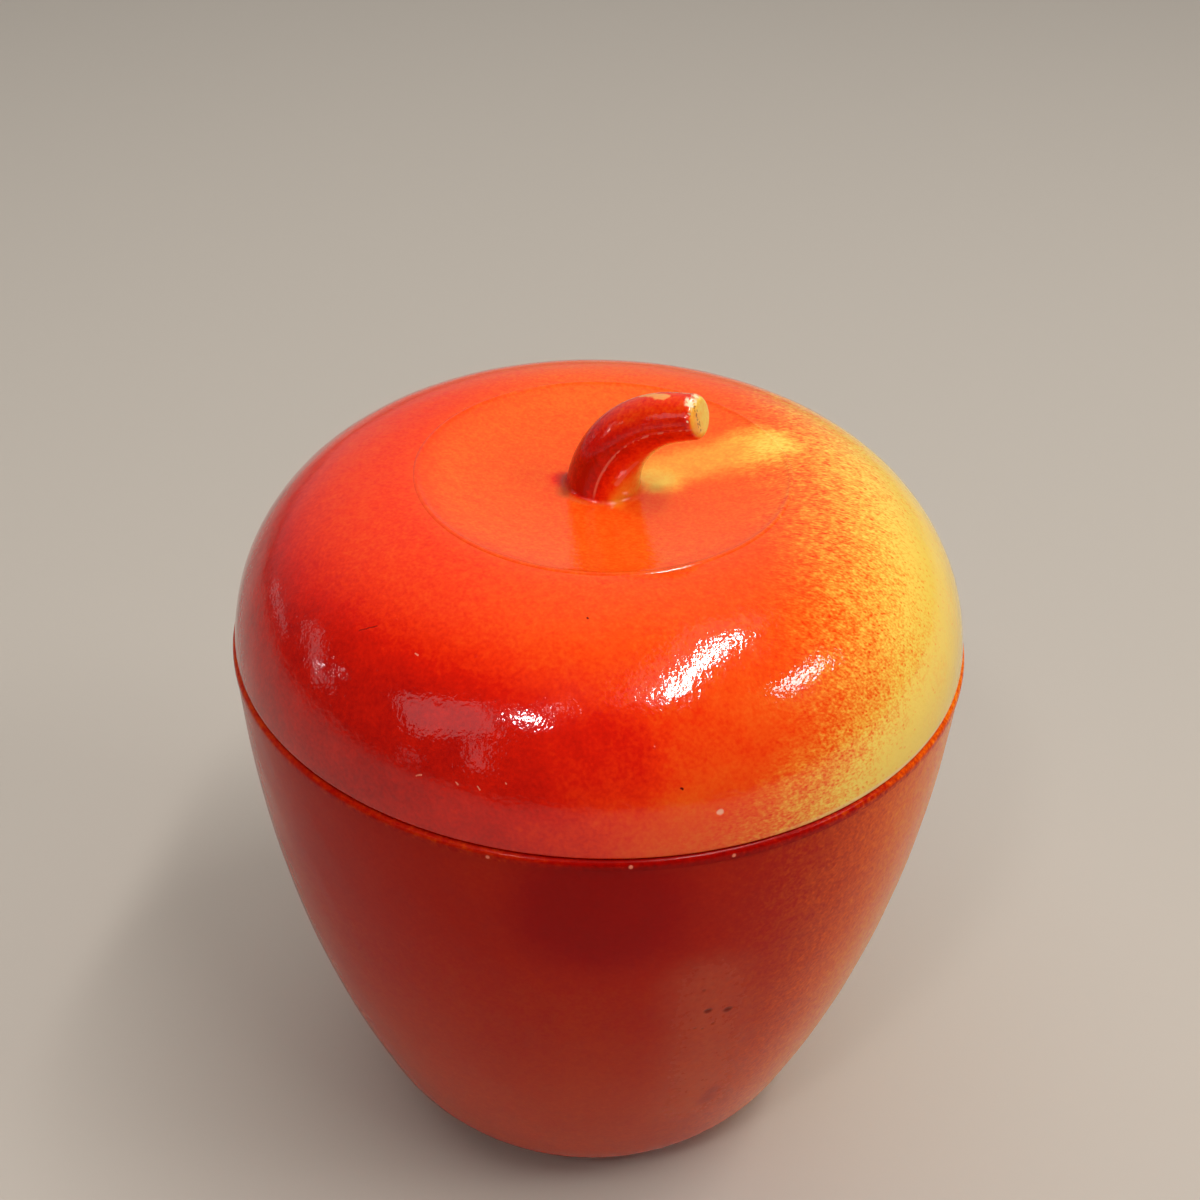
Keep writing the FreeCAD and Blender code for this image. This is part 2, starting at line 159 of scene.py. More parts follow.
def add_camera():
    """A camera at the usual height of a hand-held picture, a little rolled."""
    turn = CAMERA_AZIMUTH
    spot = Vector((CAMERA_OUT * math.sin(turn), -CAMERA_OUT * math.cos(turn), SEAM + CAMERA_OVER_SEAM))
    ahead = Matrix.Rotation(turn, 3, "Z") @ Vector((0, math.cos(CAMERA_PITCH), -math.sin(CAMERA_PITCH)))
    level = Matrix.Rotation(turn, 3, "Z") @ Vector((1, 0, 0))
    upright = level.cross(ahead)
    right = math.cos(CAMERA_ROLL) * level + math.sin(CAMERA_ROLL) * upright
    up = math.cos(CAMERA_ROLL) * upright - math.sin(CAMERA_ROLL) * level
    data = bpy.data.cameras.new("camera")
    data.lens = CAMERA_LENS
    data.sensor_width = CAMERA_SENSOR
    data.clip_start = 0.01
    camera = bpy.data.objects.new("camera", data)
    bpy.context.scene.collection.objects.link(camera)
    axes = Matrix((right, up, -ahead)).transposed()
    camera.matrix_world = Matrix.Translation(spot) @ axes.to_4x4()
    bpy.context.scene.camera = camera


# ------ meshes

def arc(centre, radius, start, end, shares):
    """Points (r, z) along an arc, at shares of its turn; angles from +r towards +z."""
    angles = start + (end - start) * shares
    return [(centre[0] + radius * math.cos(a), centre[1] + radius * math.sin(a)) for a in angles]


def even(steps):
    """Shares from 0 to 1 in equal steps."""
    return np.linspace(0, 1, steps + 1)


def stretch(start, end, steps):
    """Points along a straight run, without its first."""
    return [tuple(np.add(start, np.subtract(end, start) * k / steps)) for k in range(1, steps + 1)]


def turned_rows(profile, relief):
    """Each point (r, z) of a profile becomes one ring of vertices, pressed in by its relief."""
    outline = np.array(profile)
    slope = np.gradient(outline, axis=0)
    slope /= np.linalg.norm(slope, axis=1, keepdims=True)
    rows = []
    for (radius, height), (outward, upward) in zip(outline, slope):
        depth = relief(radius, height)
        ring_radius = radius - upward * depth
        ring_height = height + outward * depth
        rows.append(np.stack([ring_radius * np.cos(TURN), ring_radius * np.sin(TURN), ring_height], axis=1))
    return rows


def smooth_step(value, start, end):
    """0 at start and 1 at end, with soft ends; start may be the larger."""
    share = np.clip((value - start) / (end - start), 0, 1)
    return share * share * (3 - 2 * share)


def ripple(radius, height):
    """The slow wavering of the glass, from 0 to 1, round one ring, in uneven waves."""
    x, y = radius * np.cos(TURN), radius * np.sin(TURN)
    long_wave = np.sin(x / (2.1 * MM) + height / (3.0 * MM))
    long_wave = long_wave * np.sin(y / (2.6 * MM) - height / (3.4 * MM) + 1.9)
    short_wave = np.sin(x / (1.2 * MM) - y / (1.5 * MM) + height / (1.7 * MM) + 0.7)
    return 0.5 + 0.35 * long_wave + 0.15 * short_wave


def dent(radius, height, spot, half_length, half_height):
    """A round-bottomed hollow about a spot (angle, height), 1 at its middle."""
    off = (TURN - spot[0] + math.pi) % (2 * math.pi) - math.pi
    reach = (off * radius / half_length) ** 2 + ((height - spot[1]) / half_height) ** 2
    return np.maximum(0, 1 - reach) ** 2


def jar_relief(radius, height):
    """How far the jar's surface lies under its outline, which in the mouth is nowhere."""
    if radius <= MOUTH_RADIUS and height > SEAM / 2:
        return np.zeros(COLUMNS)
    depth = RIPPLE * smooth_step(height, *RIPPLE_OVER_FOOT)
    depth = depth * smooth_step(height, SEAM - RIPPLE_UNDER_RIM[0], SEAM - RIPPLE_UNDER_RIM[1])
    depth = depth * ripple(radius, height)
    for degrees, level, half_length, half_height in JAR_PITS:
        spot = (math.radians(degrees), level * MM)
        depth = depth + PIT_DEPTH * dent(radius, height, spot, half_length * MM, half_height * MM)
    return depth


def lid_relief(radius, height):
    """How far the lid's surface lies under its outline."""
    outer = ring_places()[0]
    rim = smooth_step(height, SEAM + RIPPLE_OVER_EDGE[0], SEAM + RIPPLE_OVER_EDGE[1])
    out_of_ring = smooth_step(radius, outer + RIPPLE_OUT_OF_RING[0], outer + RIPPLE_OUT_OF_RING[1])
    depth = RIPPLE * rim * out_of_ring * ripple(radius, height)
    degrees, chip_radius, half = LID_CHIP
    spot = (math.radians(degrees), lid_height(chip_radius * MM))
    return depth + CHIP_DEPTH * dent(radius, height, spot, half * MM, half * MM)


def skin(name, first_pole, rows, last_pole):
    """A closed mesh from rings of vertices, shut by a fan at each pole."""
    vertices = [tuple(first_pole)]
    for row in rows:
        vertices.extend(map(tuple, row))
    vertices.append(tuple(last_pole))
    last = len(vertices) - 1
    faces = []
    for column in range(COLUMNS):
        beside = (column + 1) % COLUMNS
        faces.append((0, 1 + beside, 1 + column))
        for ring in range(len(rows) - 1):
            low = 1 + ring * COLUMNS
            high = low + COLUMNS
            faces.append((low + column, low + beside, high + beside, high + column))
        final = 1 + (len(rows) - 1) * COLUMNS
        faces.append((last, final + column, final + beside))
    mesh = bpy.data.meshes.new(name)
    mesh.from_pydata(vertices, [], faces)
    mesh.validate()
    mesh.update()
    mesh.shade_smooth()
    mesh.set_sharp_from_angle(angle=SHARP_ANGLE)
    piece = bpy.data.objects.new(name, mesh)
    bpy.context.scene.collection.objects.link(piece)
    return piece


def tangent_centre(start, normal, end):
    """Centre of the arc that leaves start square to normal and passes through end."""
    across, up = end[0] - start[0], end[1] - start[1]
    radius = (across**2 + up**2) / (2 * (across * normal[0] + up * normal[1]))
    return (start[0] + normal[0] * radius, start[1] + normal[1] * radius)


def angle_of(centre, place):
    """The angle at which a place lies from a centre."""
    return math.atan2(place[1] - centre[1], place[0] - centre[0])


def wall_circle():
    """The wall's long arc: its top, its turn into the heel, its centre and radius."""
    top = (RIM_RADIUS - WALL_INSET, SEAM - RIM_BEAD_HEIGHT)
    turn = (HEEL_RADIUS, HEEL_HEIGHT)
    centre = tangent_centre(top, (-math.cos(WALL_LEAN), math.sin(WALL_LEAN)), turn)
    return top, turn, centre, math.dist(centre, turn)


def jar_profile():
    """Up from under the base, round the outside, over the rim and into the mouth."""
    reach = FOOT_RADIUS - FOOT_RING_WIDTH
    dome = (reach**2 + PUSHUP_DEPTH**2) / (2 * PUSHUP_DEPTH)
    dome_centre = (0, PUSHUP_DEPTH - dome)
    dome_start = angle_of(dome_centre, (0, PUSHUP_DEPTH)) - POLE_GAP
    foot = (FOOT_RADIUS, 0.0)
    wall_top, turn, wall_centre, wall_arc = wall_circle()
    inward = ((wall_centre[0] - turn[0]) / wall_arc, (wall_centre[1] - turn[1]) / wall_arc)
    heel_centre = tangent_centre(turn, inward, foot)
    heel_arc = math.dist(heel_centre, foot)

    # The foot's rounding touches the base and the heel from the inside.
    round_out = heel_centre[0] + math.sqrt((heel_arc - FOOT_ROUND) ** 2 - (FOOT_ROUND - heel_centre[1]) ** 2)
    round_centre = (round_out, FOOT_ROUND)
    heel_start = angle_of(heel_centre, round_centre)

    points = arc(dome_centre, dome, dome_start, angle_of(dome_centre, (reach, 0)), even(10))
    points += stretch(points[-1], (round_out, 0), 4)
    points += arc(round_centre, FOOT_ROUND, -math.pi / 2, heel_start, even(8))[1:]
    points += arc(heel_centre, heel_arc, heel_start, angle_of(heel_centre, turn), even(18))[1:]
    # The wall's rows lie closest where the pits are.
    wall_shares = crowded(WALL_ROWS, centre=0.59, width=0.09, boost=3)
    wall_start, wall_end = angle_of(wall_centre, turn), angle_of(wall_centre, wall_top)
    points += arc(wall_centre, wall_arc, wall_start, wall_end, wall_shares)[1:]
    points += stretch(wall_top, (RIM_RADIUS, wall_top[1] + WALL_INSET), 2)
    points += stretch(points[-1], (RIM_RADIUS, SEAM - RIM_ROUND), 3)
    points += arc((RIM_RADIUS - RIM_ROUND, SEAM - RIM_ROUND), RIM_ROUND, 0, math.pi / 2, even(8))[1:]
    points += stretch(points[-1], (MOUTH_RADIUS, SEAM), 4)
    recess_floor = LID_LOW.z - SPIGOT_FLOOR_GAP
    points += stretch(points[-1], (MOUTH_RADIUS, recess_floor), 3)
    points += stretch(points[-1], (MOUTH_RADIUS / 4, recess_floor), 3)
    return points, recess_floor


def shoulder_centre():
    """Centre (r, z) of the arc from the lid's edge over its shoulder."""
    up = CREST - SHOULDER_ARC
    return (LID_RADIUS - math.sqrt(SHOULDER_ARC**2 - (SEAM - up) ** 2), up)


def ring_places():
    """The mould ring's outer and inner foot, and their height."""
    centre = shoulder_centre()
    outer = centre[0] - RING_FROM_CREST
    height = centre[1] + math.sqrt(SHOULDER_ARC**2 - RING_FROM_CREST**2)
    return outer, outer - RING_WIDTH, height


def dish_height(radius):
    """The dish is part of a sphere that meets the ring's inner foot."""
    inner, height = ring_places()[1:]
    rise = height - DISH_FLOOR
    sphere = (inner**2 + rise**2) / (2 * rise)
    return DISH_FLOOR + sphere - np.sqrt(sphere**2 - radius**2)


def lid_height(radius):
    """Height of the lid's top at a distance from the axis."""
    if radius < ring_places()[1]:
        return float(dish_height(radius))
    centre = shoulder_centre()
    return centre[1] + math.sqrt(SHOULDER_ARC**2 - max(0.0, radius - centre[0]) ** 2)


def mm(*values):
    """A place in the frame's metres from millimetres."""
    return tuple(value * MM for value in values)


def around(degrees, radius, height):
    """A place in the frame's metres from an angle round the axis and two sizes in millimetres."""
    turn = math.radians(degrees)
    return (radius * MM * math.cos(turn), radius * MM * math.sin(turn), height * MM)


def on_dish(x, y, rise):
    """A place in the frame's metres from millimetres, its height over the dish's floor."""
    return (x * MM, y * MM, DISH_FLOOR + rise * MM)


def on_lid(degrees, radius):
    """A place on the lid's top from an angle and a radius in millimetres."""
    return (*around(degrees, radius, 0)[:2], lid_height(radius * MM))


def on_jar(degrees, height):
    """A place on the jar's wall from an angle and a height in millimetres."""
    centre, wall_arc = wall_circle()[2:]
    radius = centre[0] + math.sqrt(wall_arc**2 - (height * MM - centre[1]) ** 2)
    angle = math.radians(degrees)
    return (radius * math.cos(angle), radius * math.sin(angle), height * MM)


def lid_profile():
    """From under the spigot out to the edge, over the shoulder and the ring."""
    bottom = LID_LOW.z
    points = [(SPIGOT_RADIUS / 4, bottom)]
    points += stretch(points[-1], (SPIGOT_RADIUS - SPIGOT_CHAMFER, bottom), 3)
    points += stretch(points[-1], (SPIGOT_RADIUS, bottom + SPIGOT_CHAMFER), 1)
    points += stretch(points[-1], (SPIGOT_RADIUS, SEAM), 2)
    centre = shoulder_centre()
    inside = SHOULDER_ARC - LID_EDGE_ROUND
    edge_up = SEAM + LID_EDGE_ROUND
    edge_centre = (centre[0] + math.sqrt(inside**2 - (edge_up - centre[1]) ** 2), edge_up)
    edge_end = angle_of(centre, edge_centre)
    points += stretch(points[-1], (edge_centre[0], SEAM), 3)
    points += arc(edge_centre, LID_EDGE_ROUND, -math.pi / 2, edge_end, even(8))[1:]
    outer, inner, height = ring_places()
    # The shoulder's rows lie closest where the chip is.
    shoulder_shares = crowded(SHOULDER_ROWS, centre=0.12, width=0.06, boost=3)
    points += arc(centre, SHOULDER_ARC, edge_end, angle_of(centre, (outer, height)), shoulder_shares)[1:]
    half = RING_WIDTH / 2
    bead_centre = (inner + half, height - math.sqrt(RING_BEAD_ARC**2 - half**2))
    points += arc(bead_centre, RING_BEAD_ARC, angle_of(bead_centre, (outer, height)),
                  angle_of(bead_centre, (inner, height)), even(6))[1:]
    return points


def stem_middle(along):
    """Point and heading of the stem's middle line; the heading is measured from +Z."""
    along = np.asarray(along, float)
    heading = np.clip((along - STEM_RISE) / STEM_BEND_ARC, 0, STEM_BEND_ANGLE)
    past = np.maximum(along - STEM_RISE - STEM_BEND_ARC * STEM_BEND_ANGLE, 0)
    rise = np.minimum(along, STEM_RISE)
    x = STEM_BEND_ARC * (1 - np.cos(heading)) + past * np.sin(heading)
    z = DISH_FLOOR - STEM_ROOT_SINK + rise + STEM_BEND_ARC * np.sin(heading) + past * np.cos(heading)
    return x, z, heading


def stem_radius(along):
    """The stem narrows evenly from its root to its end."""
    return STEM_ROOT_RADIUS + (STEM_TIP_RADIUS - STEM_ROOT_RADIUS) * along / STEM_LENGTH


def stem_ring(along, radius):
    """A ring of the stem, square to its middle line."""
    x, z, heading = stem_middle(along)
    out = radius * np.cos(TURN)
    side = radius * np.sin(TURN) + 0 * x
    return np.stack([x + out * np.cos(heading), side, z - out * np.sin(heading)], axis=1)


SURELY_OUT = 6 * MM  # along the stem, a place that is out of the dish all round
HALVINGS = 40


def stem_meets_dish():
    """How far along the stem each column leaves the dish, by halving."""
    low, high = np.zeros(COLUMNS), np.full(COLUMNS, SURELY_OUT)
    for _ in range(HALVINGS):
        middle = (low + high) / 2
        ring = stem_ring(middle, stem_radius(middle))
        over = ring[:, 2] > dish_height(np.hypot(ring[:, 0], ring[:, 1]))
        high = np.where(over, middle, high)
        low = np.where(over, low, middle)
    return low


MOULD_LINE = 0.10 * MM  # height of the mould line up each side of the stem
MOULD_LINE_HALF = 0.16 * MM
MOULD_LINE_TILT = math.radians(11.0)  # how far the lines lie round towards the inside of the bend

# Chips in the stem's end: (where on the stem in mm, which way it faces, hollow's radius and depth in mm).
STEM_CHIPS = (
    ((10.45, -0.75, 104.20), (0.45, -0.25, 0.85), 1.30, 0.26),
    ((10.50, 0.55, 104.25), (0.50, 0.20, 0.85), 0.90, 0.14),
    ((10.75, -2.00, 103.35), (0.50, -0.80, 0.30), 0.60, 0.12),
)


def mould_line(radius):
    """Extra radius along the mould's parting line, which runs up both sides of the stem."""
    off = np.abs(np.abs(np.angle(np.exp(1j * TURN))) - math.pi / 2 + MOULD_LINE_TILT) * radius
    return MOULD_LINE * np.exp(-((off / MOULD_LINE_HALF) ** 2))


def chipped(row):
    """A ring of the stem with the hollows of its chips, each a part of a sphere that bites in."""
    for spot, facing, bite, depth in STEM_CHIPS:
        outward = np.array(facing) / np.linalg.norm(facing)
        centre = (np.array(spot) + outward * (bite - depth)) * MM
        away = row - centre
        distance = np.linalg.norm(away, axis=1, keepdims=True)
        row = np.where(distance < bite * MM, centre + away * (bite * MM / distance), row)
    return row


def lid_rows():
    """The lid's rings from under the spigot to the stem's end."""
    rows = turned_rows(lid_profile(), lid_relief)
    edge = rows[-1]
    meet = stem_meets_dish()
    corner = stem_ring(meet, stem_radius(meet))
    top = stem_ring(meet + STEM_ROOT_FILLET, stem_radius(meet + STEM_ROOT_FILLET))
    outward = corner[:, :2] - np.stack([stem_middle(meet)[0], np.zeros(COLUMNS)], axis=1)
    outward /= np.linalg.norm(outward, axis=1, keepdims=True)
    foot = corner[:, :2] + STEM_ROOT_FILLET * outward

    # The dish, from the ring in to the foot of the root's fillet.
    for row in range(1, DISH_ROWS + 1):
        share = row / DISH_ROWS
        place = edge[:, :2] * (1 - share) + foot * share
        height = dish_height(np.hypot(place[:, 0], place[:, 1]))
        rows.append(np.column_stack([place, height]))
    base = rows[-1]

    # The fillet, a quarter round from the dish up onto the stem.
    weight = math.sqrt(0.5)
    for row in range(1, FILLET_ROWS + 1):
        share = row / FILLET_ROWS
        parts = ((1 - share) ** 2, 2 * weight * share * (1 - share), share**2)
        blend = (base * parts[0] + corner * parts[1] + top * parts[2]) / sum(parts)
        rows.append(blend)

    # The stem, up to where its end is rounded over.
    start = meet + STEM_ROOT_FILLET
    finish = STEM_LENGTH - STEM_TIP_ROUND
    stem_shares = crowded(STEM_ROWS, centre=1.0, width=0.12, boost=2)
    for row, share in enumerate(stem_shares[1:], 1):
        along = start + (finish - start) * share
        radius = stem_radius(along)
        fade = min(1.0, row / MOULD_LINE_RUN_IN)
        rows.append(chipped(stem_ring(along, radius + mould_line(radius) * fade)))

    # The rounded end, and its flat face.
    flat = STEM_TIP_RADIUS - STEM_TIP_ROUND
    for row in range(1, STEM_END_ROWS + 1):
        angle = math.pi / 2 * row / STEM_END_ROWS
        along = np.full(COLUMNS, finish + STEM_TIP_ROUND * math.sin(angle))
        radius = flat + (stem_radius(finish) - flat) * math.cos(angle)
        rows.append(chipped(stem_ring(along, radius + mould_line(radius) * math.cos(angle))))
    for share in STEM_FACE_RINGS:
        rows.append(chipped(stem_ring(np.full(COLUMNS, STEM_LENGTH), np.full(COLUMNS, flat * share))))
    return rows


def make_lid():
    x, z = stem_middle(STEM_LENGTH)[:2]
    return skin("lid_shell", (0, 0, LID_LOW.z), lid_rows(), (float(x), 0, float(z)))


def make_jar():
    profile, recess_floor = jar_profile()
    return skin("jar_shell", (0, 0, PUSHUP_DEPTH), turned_rows(profile, jar_relief), (0, 0, recess_floor))


# ------ paint

def display(red, green, blue):
    """A colour as it is seen, 0 to 255, turned into the linear values that a shader takes."""
    linear = []
    for value in (red, green, blue):
        share = value / 255
        linear.append(share / 12.92 if share <= 0.04045 else ((share + 0.055) / 1.055) ** 2.4)
    return (*linear, 1.0)


SPRAY_SQUEEZE = 0.42  # the spray's noise runs the inverse of this longer towards the cheek
DOT_CORE = 0.4  # share of a dot's radius that is whole

# The sockets of a mix node: its two numbers or two colours, and the colour it gives.
MIX_NUMBERS = (2, 3)
MIX_COLOURS = (6, 7)
MIXED_COLOUR = 2


class Paint:
    """One material, with short calls for the nodes that its fields of colour are made of."""

    def __init__(self, name):
        self.material = bpy.data.materials.new(name)
        self.material.use_nodes = True
        self.tree = self.material.node_tree
        self.shader = self.tree.nodes["Principled BSDF"]
        self.place = self.tree.nodes.new("ShaderNodeTexCoord").outputs["Object"]
        self.x, self.y, self.z = self.node("ShaderNodeSeparateXYZ", self.place).outputs
        flat = self.vector("MULTIPLY", self.place, (1, 1, 0))
        self.radius = self.length(flat)
        self.outward = self.vector("NORMALIZE", flat)

    def node(self, kind, *values, **settings):
        """A node with its settings, and its first sockets fed in their order."""
        node = self.tree.nodes.new(kind)
        for name, value in settings.items():
            setattr(node, name, value)
        for socket, value in zip(node.inputs, values):
            self.feed(socket, value)
        return node

    def feed(self, socket, value):
        """Give a socket a link, or a value of its own."""
        if isinstance(value, bpy.types.NodeSocket):
            self.tree.links.new(value, socket)
        else:
            socket.default_value = value

    def math(self, operation, *values):
        return self.node("ShaderNodeMath", *values, operation=operation).outputs[0]

    def vector(self, operation, *values):
        return self.node("ShaderNodeVectorMath", *values, operation=operation).outputs[0]

    def dot(self, first, second):
        return self.node("ShaderNodeVectorMath", first, second, operation="DOT_PRODUCT").outputs["Value"]

    def length(self, vector):
        return self.node("ShaderNodeVectorMath", vector, operation="LENGTH").outputs["Value"]

    def scaled(self, vector, share):
        node = self.node("ShaderNodeVectorMath", vector, operation="SCALE")
        self.feed(node.inputs["Scale"], share)
        return node.outputs[0]

    def chain(self, operation, values):
        """Any number of fields joined by one operation."""
        result = values[0]
        for value in values[1:]:
            result = self.math(operation, result, value)
        return result

    def total(self, *values):
        return self.chain("ADD", values)

    def product(self, *values):
        return self.chain("MULTIPLY", values)

    def most(self, *values):
        return self.chain("MAXIMUM", values)

    def fade(self, value, start, end):
        """The same as smooth_step, for a field."""
        node = self.node("ShaderNodeMapRange", interpolation_type="SMOOTHSTEP")
        self.feed(node.inputs["Value"], value)
        self.feed(node.inputs["From Min"], start)
        self.feed(node.inputs["From Max"], end)
        return node.outputs["Result"]

    def layer(self, amount, *bounds):
        """An amount that is whole where every bound, (field, none at, whole at), lets it be."""
        return self.product(*[self.fade(*bound) for bound in bounds], amount)

    def noise(self, size, detail=2.0, place=None):
        """Noise about 0, with features of a size in metres."""
        node = self.node("ShaderNodeTexNoise")
        self.feed(node.inputs["Vector"], place or self.place)
        node.inputs["Scale"].default_value = 1 / size
        node.inputs["Detail"].default_value = detail
        return self.math("SUBTRACT", node.outputs["Fac"], 0.5)

    def shaken(self, size, reach):
        """The place moved about by coarse noise, so that edges wander."""
        node = self.node("ShaderNodeTexNoise")
        self.feed(node.inputs["Vector"], self.place)
        node.inputs["Scale"].default_value = 1 / size
        centred = self.vector("SUBTRACT", node.outputs["Color"], (0.5, 0.5, 0.5))
        return self.vector("ADD", self.place, self.scaled(centred, reach))

    def combed(self, squeeze):
        """A space in which noise comes out drawn towards the cheek, the way the spray flew."""
        along = self.product(self.dot(self.place, CHEEK), squeeze - 1)
        return self.vector("ADD", self.place, self.scaled(CHEEK, along))

    def dots(self, spacing, share, radius, place=None):
        """Round dots: one in each of a share of the cells of a grid; radius is a share of the spacing."""
        node = self.node("ShaderNodeTexVoronoi")
        self.feed(node.inputs["Vector"], place or self.place)
        node.inputs["Scale"].default_value = 1 / spacing
        dot = self.fade(node.outputs["Distance"], radius, radius * DOT_CORE)
        chance = self.node("ShaderNodeSeparateColor", node.outputs["Color"]).outputs[0]
        return self.product(dot, self.math("LESS_THAN", chance, share))

    def spot(self, centre, radius, soft=1.0, place=None):
        """1 at a centre and 0 past a radius; soft is the share of the radius that fades."""
        away = self.vector("SUBTRACT", place or self.place, centre)
        return self.fade(self.length(away), radius, radius * (1 - soft))

    def band(self, start, end, half, soft=1.0, place=None):
        """1 on the line from start to end and 0 past a distance from it."""
        run = Vector(end) - Vector(start)
        away = self.vector("SUBTRACT", place or self.place, start)
        share = self.dot(away, tuple(run / run.length_squared))
        held = self.node("ShaderNodeClamp", share).outputs[0]
        left = self.vector("SUBTRACT", away, self.scaled(tuple(run), held))
        return self.fade(self.length(left), half, half * (1 - soft))

    def patch(self, start, end, half, soft, place=None):
        """A band from start to end, or a round spot where there is no end."""
        if end is None:
            return self.spot(start, half, soft, place)
        return self.band(start, end, half, soft, place)

    def ramp(self, value, stops):
        """Colours by value; stops are (value, colour) from 0 to 1."""
        node = self.node("ShaderNodeValToRGB", value)
        elements = node.color_ramp.elements
        elements[0].position, elements[0].color = stops[0]
        elements[1].position, elements[1].color = stops[-1]
        for position, colour in stops[1:-1]:
            elements.new(position).color = colour
        return node.outputs["Color"]

    def blend(self, factor, below, above):
        """A number between two others."""
        node = self.node("ShaderNodeMix", factor)
        for socket, value in zip(MIX_NUMBERS, (below, above)):
            self.feed(node.inputs[socket], value)
        return node.outputs[0]

    def mix(self, factor, below, above):
        """A colour between two others."""
        node = self.node("ShaderNodeMix", factor, data_type="RGBA")
        for socket, value in zip(MIX_COLOURS, (below, above)):
            self.feed(node.inputs[socket], value)
        return node.outputs[MIXED_COLOUR]

    def bump(self, height):
        """Relief from a field of heights in metres."""
        node = self.node("ShaderNodeBump")
        node.inputs["Strength"].default_value = 1.0
        node.inputs["Distance"].default_value = 1.0
        self.feed(node.inputs["Height"], height)
        self.tree.links.new(node.outputs["Normal"], self.shader.inputs["Normal"])

    def finish(self, colour, roughness, specular, relief):
        """The fields on the shader's sockets, and the finished material."""
        self.feed(self.shader.inputs["Base Color"], colour)
        self.feed(self.shader.inputs["Roughness"], roughness)
        self.shader.inputs["IOR"].default_value = ENAMEL_IOR
        self.shader.inputs["Specular IOR Level"].default_value = specular
        self.bump(relief)
        return self.material


CHEEK_ANGLE = math.radians(30.0)  # where the yellow cheek faces, from the stem's side
CHEEK = (math.cos(CHEEK_ANGLE), math.sin(CHEEK_ANGLE), 0)
BACK_ANGLE = math.radians(112.0)  # where the lid's coat is thinner at the back
BACK = (math.cos(BACK_ANGLE), math.sin(BACK_ANGLE), 0)

# The thickness of the red coat, from 0, bare yellow enamel, to 1, and the colour it gives.
LID_COLOURS = (
    (0.00, display(254, 212, 88)),
    (0.18, display(254, 176, 62)),
    (0.34, display(252, 136, 40)),
    (0.46, display(250, 104, 24)),
    (0.58, display(249, 76, 11)),
    (0.69, display(244, 48, 4)),
    (0.80, display(226, 24, 2)),
    (1.00, display(178, 6, 1)),
)
JAR_COLOURS = (
    (0.00, display(252, 160, 22)),
    (0.20, display(248, 122, 6)),
    (0.32, display(240, 98, 3)),
    (0.44, display(224, 74, 2)),
    (0.56, display(202, 56, 1)),
    (0.68, display(186, 28, 1)),
    (0.80, display(168, 6, 0)),
    (1.00, display(136, 1, 0)),
)
FULL_COAT = 1.25  # the coat at the ramps' end
STEM_THINNEST = 0.26  # the coat on the inside of the stem's bend
STEM_END_COAT = 0.06
JAR_THICKEST = 0.88

CREAM = display(255, 226, 176)
RUBBED = display(255, 176, 92)
# The pale red of a painted highlight inside the stem's bend.
PAINTED_STREAK_RED = display(255, 128, 92)
RUBBED_EDGE = display(255, 208, 150)
SPRAYED_ORANGE = display(255, 164, 40)
SMUDGED = display(196, 160, 64)
# A pale pink for the painted sheen, a hazy reflection, on the jar's wall.
PAINTED_SHEEN_COLOUR = display(232, 124, 84)
# Brown for the pits in the stem's end, and for painted shade by the stem's root.
PIT_AND_SHADE_BROWN = display(120, 52, 14)
DARK_RED = display(96, 10, 6)
# A pale red for rubs and nicks on the lid, and for painted highlights on the stem's mould line and the jar's
# bead.
PALE_RED_RUB_AND_GLINT = display(240, 132, 104)

# The gloss of the enamel. What is the same all over a piece sits on the shader's own socket.
ENAMEL_IOR = 1.5
LID_SPECULAR = 0.45
LID_ROUGHNESS = 0.075
JAR_SPECULAR = 0.08
JAR_ROUGHNESS = 0.2

# Where the stem kept the spray off the lid: how far the coat is thinner, from and to (or None for
# a round patch) in mm with the height over the dish's floor, reach in mm, and soft share.
BARE_PATCHES = (
    (-0.34, (3.6, 5.0, 0.0), (13.5, 14.5, 1.6), 5.6, 0.75),
    (-0.24, (4.6, 4.2, 0.0), None, 3.6, 0.7),
    (-0.22, (6.6, 2.8, 0.0), None, 3.0, 0.8),
    (-0.16, (14.6, 15.6, 2.0), None, 4.4, 0.8),
)

# Small scratches, nibs and rubs on the lid: from and to as (degrees round the axis, radius in mm),
# half width in mm, and colour. The last is the chip in the shoulder.
LID_MARKS = (
    ((-107.5, 35.6), (-104.9, 34.5), 0.10, display(150, 20, 6)),
    ((-89.2, 41.80), (-88.4, 41.70), 0.11, PALE_RED_RUB_AND_GLINT),
    ((-83.1, 41.60), (-82.9, 41.65), 0.13, PALE_RED_RUB_AND_GLINT),
    ((-80.1, 41.55), (-79.6, 41.65), 0.10, PALE_RED_RUB_AND_GLINT),
    ((-76.2, 41.20), (-76.1, 41.22), 0.14, PALE_RED_RUB_AND_GLINT),
    ((-95.4, 35.10), (-94.8, 35.15), 0.12, PALE_RED_RUB_AND_GLINT),
    ((-66.5, 28.00), (-66.3, 28.10), 0.14, DARK_RED),
    ((-52.2, 41.20), (-52.0, 41.25), 0.16, DARK_RED),
    (LID_CHIP[:2], (LID_CHIP[0] + 0.2, LID_CHIP[1]), 0.40, display(255, 176, 144)),
)

# Worn patches along the top of the stem: from, to and half width in mm.
STEM_RUBS = (
    ((4.6, 0.4, 102.9), (7.2, -0.5, 103.9), 0.75),
    ((7.8, 1.2, 103.9), (9.8, 1.1, 104.3), 0.55),
)

# Where the paint has flaked off the edge of the stem's end: place and radius in mm.
STEM_FLAKES = (
    ((10.45, -0.75, 104.15), 0.85),
    ((10.55, 0.55, 104.25), 0.65),
    ((10.70, -2.00, 103.35), 0.24),
    ((10.95, -2.25, 102.60), 0.20),
)

